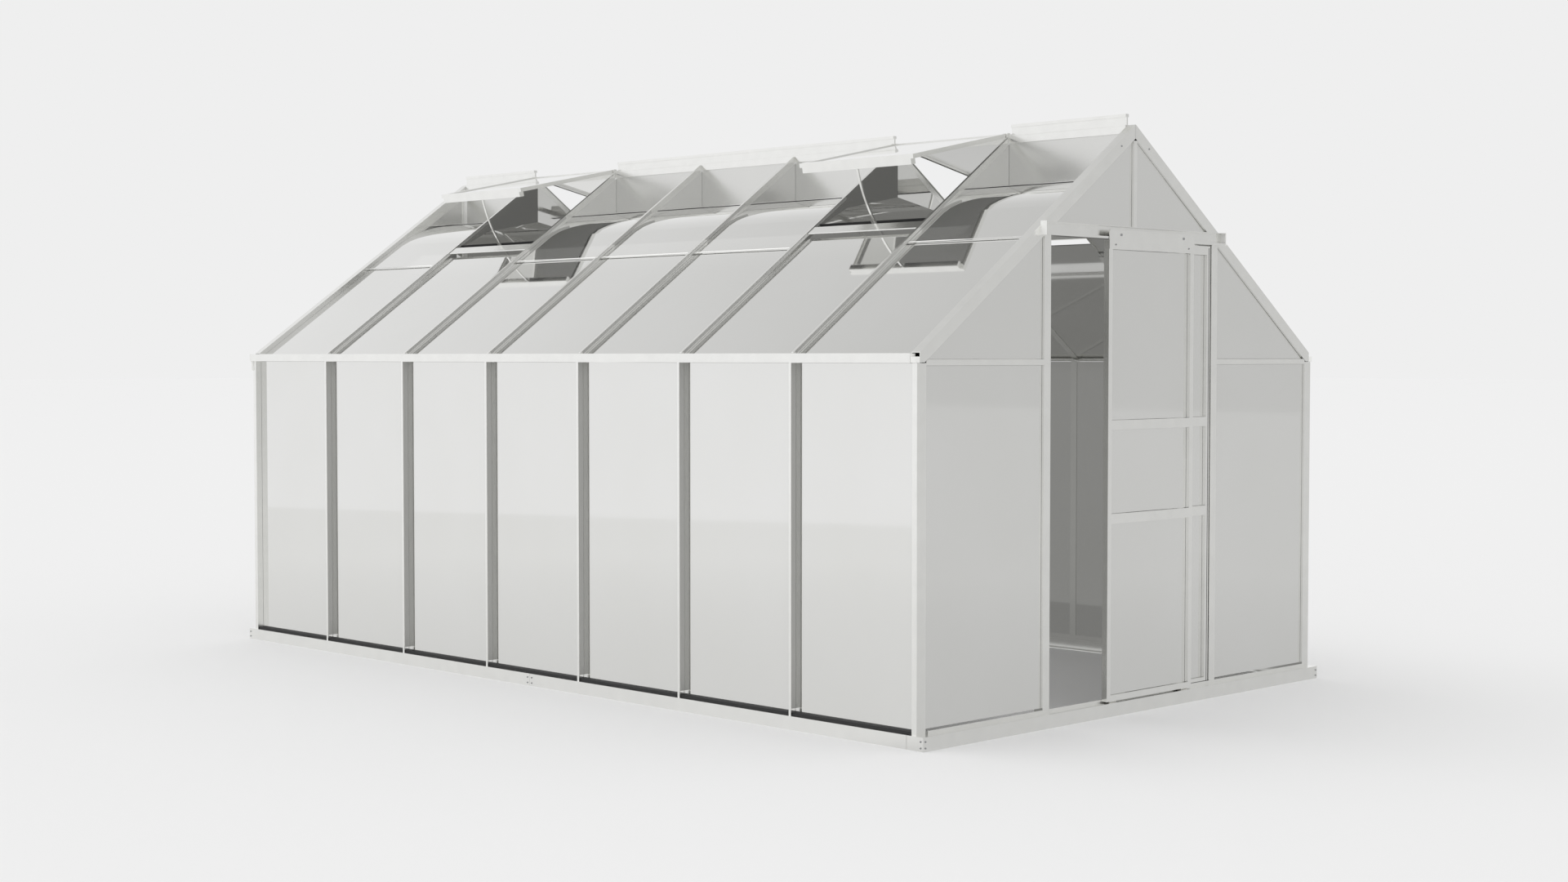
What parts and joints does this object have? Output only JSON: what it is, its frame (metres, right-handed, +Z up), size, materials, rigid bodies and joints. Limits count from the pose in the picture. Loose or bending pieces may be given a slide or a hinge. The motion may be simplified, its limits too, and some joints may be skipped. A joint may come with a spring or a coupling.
{
  "type": "greenhouse",
  "caption": "Walk-in gable greenhouse with opal panes in an aluminium frame, hinged roof vents on quadrant stays and bypass sliding doors.",
  "frame": {"origin": "centre of the base frame, on the ground", "axes": "+Z up; the ridge runs along Y, with the door gable at -Y; +X to the right of someone facing the door"},
  "size_m": [2.573, 4.453, 2.344],
  "materials": {
    "aluminium_frame": "satin anodised extrusion",
    "opal_sheet": "gloss opal sheet",
    "zinc_steel": "zinc plated",
    "nylon": "moulded",
    "cap_plastic": "moulded"
  },
  "bodies": {
    "frame": {"base_end_rails": "aluminium_frame", "base_joining_plates": "aluminium_frame", "base_left_rails": "aluminium_frame", "base_right_rails": "aluminium_frame", "corner_posts": "aluminium_frame", "door_header": "aluminium_frame", "door_jambs": "aluminium_frame", "eave_gutters": "aluminium_frame", "frame_screws": "zinc_steel", "front_gable_panes": "opal_sheet", "front_king_stud": "aluminium_frame", "front_sill": "aluminium_frame", "front_transoms": "aluminium_frame", "gable_rafters": "aluminium_frame", "header_end_caps": "cap_plastic", "left_roof_panes": "opal_sheet", "left_upper_sheets": "opal_sheet", "left_wall_panes": "opal_sheet", "rafter_gussets": "aluminium_frame", "rear_gable_bars": "aluminium_frame", "rear_gable_panes": "opal_sheet", "ridge_beam": "aluminium_frame", "ridge_crest_strips": "aluminium_frame", "ridge_lugs": "aluminium_frame", "ridge_riser_panels": "opal_sheet", "right_roof_panes": "opal_sheet", "right_upper_sheets": "opal_sheet", "right_wall_panes": "opal_sheet", "roof_rafters": "aluminium_frame", "vent_sills": "aluminium_frame", "wall_mullions": "aluminium_frame", "wall_sills": "aluminium_frame"},
    "outer_door": {"outer_door_stiles": "aluminium_frame", "outer_door_rails": "aluminium_frame", "outer_door_panes": "opal_sheet", "outer_door_hanger": "aluminium_frame", "outer_roller_axles": "zinc_steel", "outer_hanger_screws": "zinc_steel"},
    "outer_roller_left": {"outer_roller_left": "nylon"},
    "outer_roller_right": {"outer_roller_right": "nylon"},
    "inner_door": {"inner_door_stiles": "aluminium_frame", "inner_door_rails": "aluminium_frame", "inner_door_panes": "opal_sheet", "inner_door_hanger": "aluminium_frame", "inner_roller_axles": "zinc_steel", "inner_hanger_screws": "zinc_steel"},
    "inner_roller_left": {"inner_roller_left": "nylon"},
    "inner_roller_right": {"inner_roller_right": "nylon"},
    "left_front_vent": {"left_front_vent_sash": "aluminium_frame", "left_front_vent_pane": "opal_sheet", "left_front_vent_stay": "aluminium_frame"},
    "left_rear_vent": {"left_rear_vent_sash": "aluminium_frame", "left_rear_vent_pane": "opal_sheet", "left_rear_vent_stay": "aluminium_frame"},
    "right_front_vent": {"right_front_vent_sash": "aluminium_frame", "right_front_vent_pane": "opal_sheet", "right_front_vent_stay": "aluminium_frame"},
    "right_rear_vent": {"right_rear_vent_sash": "aluminium_frame", "right_rear_vent_pane": "opal_sheet", "right_rear_vent_stay": "aluminium_frame"}
  },
  "joints": [
    {"name": "outer_door_slide", "type": "slide", "parent": "frame", "child": "outer_door", "axis": [1, 0, 0], "range_m": [-0.332, 0.175]},
    {"name": "outer_roller_left_spin", "type": "hinge", "parent": "outer_door", "child": "outer_roller_left", "pos_m": [-0.128, -2.19825, 1.8637], "axis": [0, 1, 0], "range_deg": [-1364, 722]},
    {"name": "outer_roller_right_spin", "type": "hinge", "parent": "outer_door", "child": "outer_roller_right", "pos_m": [0.285, -2.19825, 1.8637], "axis": [0, 1, 0], "range_deg": [-1364, 722]},
    {"name": "inner_door_slide", "type": "slide", "parent": "frame", "child": "inner_door", "axis": [1, 0, 0], "range_m": [-0.481, 0]},
    {"name": "inner_roller_left_spin", "type": "hinge", "parent": "inner_door", "child": "inner_roller_left", "pos_m": [0.034, -2.172, 1.8637], "axis": [0, 1, 0], "range_deg": [-1974, 5]},
    {"name": "inner_roller_right_spin", "type": "hinge", "parent": "inner_door", "child": "inner_roller_right", "pos_m": [0.447, -2.172, 1.8637], "axis": [0, 1, 0], "range_deg": [-1974, 5]},
    {"name": "left_front_vent_hinge", "type": "hinge", "parent": "frame", "child": "left_front_vent", "pos_m": [-0.02, -1.24, 2.3], "axis": [0, 1, 0], "range_deg": [-23.4, 0]},
    {"name": "left_rear_vent_hinge", "type": "hinge", "parent": "frame", "child": "left_rear_vent", "pos_m": [-0.02, 1.24, 2.3], "axis": [0, 1, 0], "range_deg": [-23.4, 0]},
    {"name": "right_front_vent_hinge", "type": "hinge", "parent": "frame", "child": "right_front_vent", "pos_m": [0.02, -1.24, 2.3], "axis": [0, -1, 0], "range_deg": [-23.4, 0]},
    {"name": "right_rear_vent_hinge", "type": "hinge", "parent": "frame", "child": "right_rear_vent", "pos_m": [0.02, 1.24, 2.3], "axis": [0, -1, 0], "range_deg": [-23.4, 0]}
  ],
  "couplings": [
    {"joint": "outer_roller_left_spin", "follows": "outer_door_slide", "rad_per_m": 71.429},
    {"joint": "outer_roller_right_spin", "follows": "outer_door_slide", "rad_per_m": 71.429},
    {"joint": "inner_roller_left_spin", "follows": "inner_door_slide", "rad_per_m": 71.429},
    {"joint": "inner_roller_right_spin", "follows": "inner_door_slide", "rad_per_m": 71.429}
  ]
}
